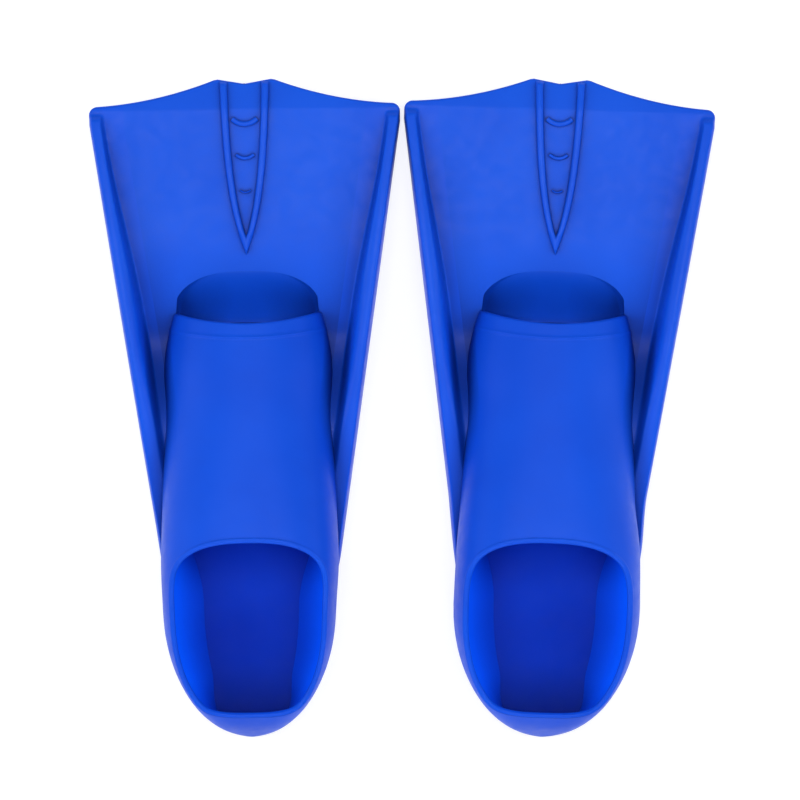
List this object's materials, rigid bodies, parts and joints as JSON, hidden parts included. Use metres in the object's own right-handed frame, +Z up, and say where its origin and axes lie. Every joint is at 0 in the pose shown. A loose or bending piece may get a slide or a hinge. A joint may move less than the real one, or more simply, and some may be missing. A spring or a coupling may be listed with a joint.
{
  "type": "pair of swim fins",
  "caption": "Pair of short-blade, full-foot rubber training fins with open toes, thick edge rails and a V-ribbed blade that flexes ahead of the toes.",
  "frame": {"origin": "centre of the pair's bounding box, on the plane the soles rest on", "axes": "+Z up, +Y from the heels to the blade tips, +X from the left fin to the right fin"},
  "size_m": [0.3805, 0.3996, 0.0782],
  "materials": {
    "pocket_silicone": "soft satin moulded silicone",
    "blade_silicone": "satin moulded silicone with a fine grain",
    "rail_silicone": "smooth satin moulded silicone",
    "sole_silicone": "matt moulded silicone with grip ribs"
  },
  "bodies": {
    "left_foot": {"left_sole": "sole_silicone", "left_forefoot_tread": "sole_silicone", "left_heel_tread": "sole_silicone", "left_vamp": "pocket_silicone", "left_toe_band": "pocket_silicone", "left_outer_quarter": "pocket_silicone", "left_inner_quarter": "pocket_silicone", "left_heel_cup": "pocket_silicone", "left_collar": "pocket_silicone", "left_toe_scoop": "blade_silicone", "left_scoop_wall": "blade_silicone", "left_outer_side_web": "blade_silicone", "left_inner_side_web": "blade_silicone", "left_outer_foot_rail": "rail_silicone", "left_inner_foot_rail": "rail_silicone", "left_flex_web": "blade_silicone", "left_outer_flex_rail": "rail_silicone", "left_inner_flex_rail": "rail_silicone"},
    "left_blade": {"left_blade_web": "blade_silicone", "left_outer_blade_rail": "rail_silicone", "left_inner_blade_rail": "rail_silicone", "left_v_rib": "blade_silicone", "left_v_rib_underside": "blade_silicone", "left_tip_crescents": "blade_silicone"},
    "right_foot": {"right_sole": "sole_silicone", "right_forefoot_tread": "sole_silicone", "right_heel_tread": "sole_silicone", "right_vamp": "pocket_silicone", "right_toe_band": "pocket_silicone", "right_outer_quarter": "pocket_silicone", "right_inner_quarter": "pocket_silicone", "right_heel_cup": "pocket_silicone", "right_collar": "pocket_silicone", "right_toe_scoop": "blade_silicone", "right_scoop_wall": "blade_silicone", "right_outer_side_web": "blade_silicone", "right_inner_side_web": "blade_silicone", "right_outer_foot_rail": "rail_silicone", "right_inner_foot_rail": "rail_silicone", "right_flex_web": "blade_silicone", "right_outer_flex_rail": "rail_silicone", "right_inner_flex_rail": "rail_silicone"},
    "right_blade": {"right_blade_web": "blade_silicone", "right_outer_blade_rail": "rail_silicone", "right_inner_blade_rail": "rail_silicone", "right_v_rib": "blade_silicone", "right_v_rib_underside": "blade_silicone", "right_tip_crescents": "blade_silicone"}
  },
  "joints": [
    {"name": "left_blade_flex", "type": "hinge", "parent": "left_foot", "child": "left_blade", "pos_m": [-0.0944, 0.08937, 0.022], "axis": [0.9999, 0.0145, 0], "range_deg": [-8, 30], "stiffness_Nm_per_rad": 4, "deforming": ["left_flex_web", "left_outer_flex_rail", "left_inner_flex_rail"]},
    {"name": "right_blade_flex", "type": "hinge", "parent": "right_foot", "child": "right_blade", "pos_m": [0.09296, 0.08925, 0.022], "axis": [0.9995, -0.0319, 0], "range_deg": [-8, 30], "stiffness_Nm_per_rad": 4, "deforming": ["right_flex_web", "right_outer_flex_rail", "right_inner_flex_rail"]},
    {"name": "fins_apart", "type": "slide", "parent": "left_foot", "child": "right_foot", "axis": [1, 0, 0], "range_m": [0, 0.3]}
  ]
}
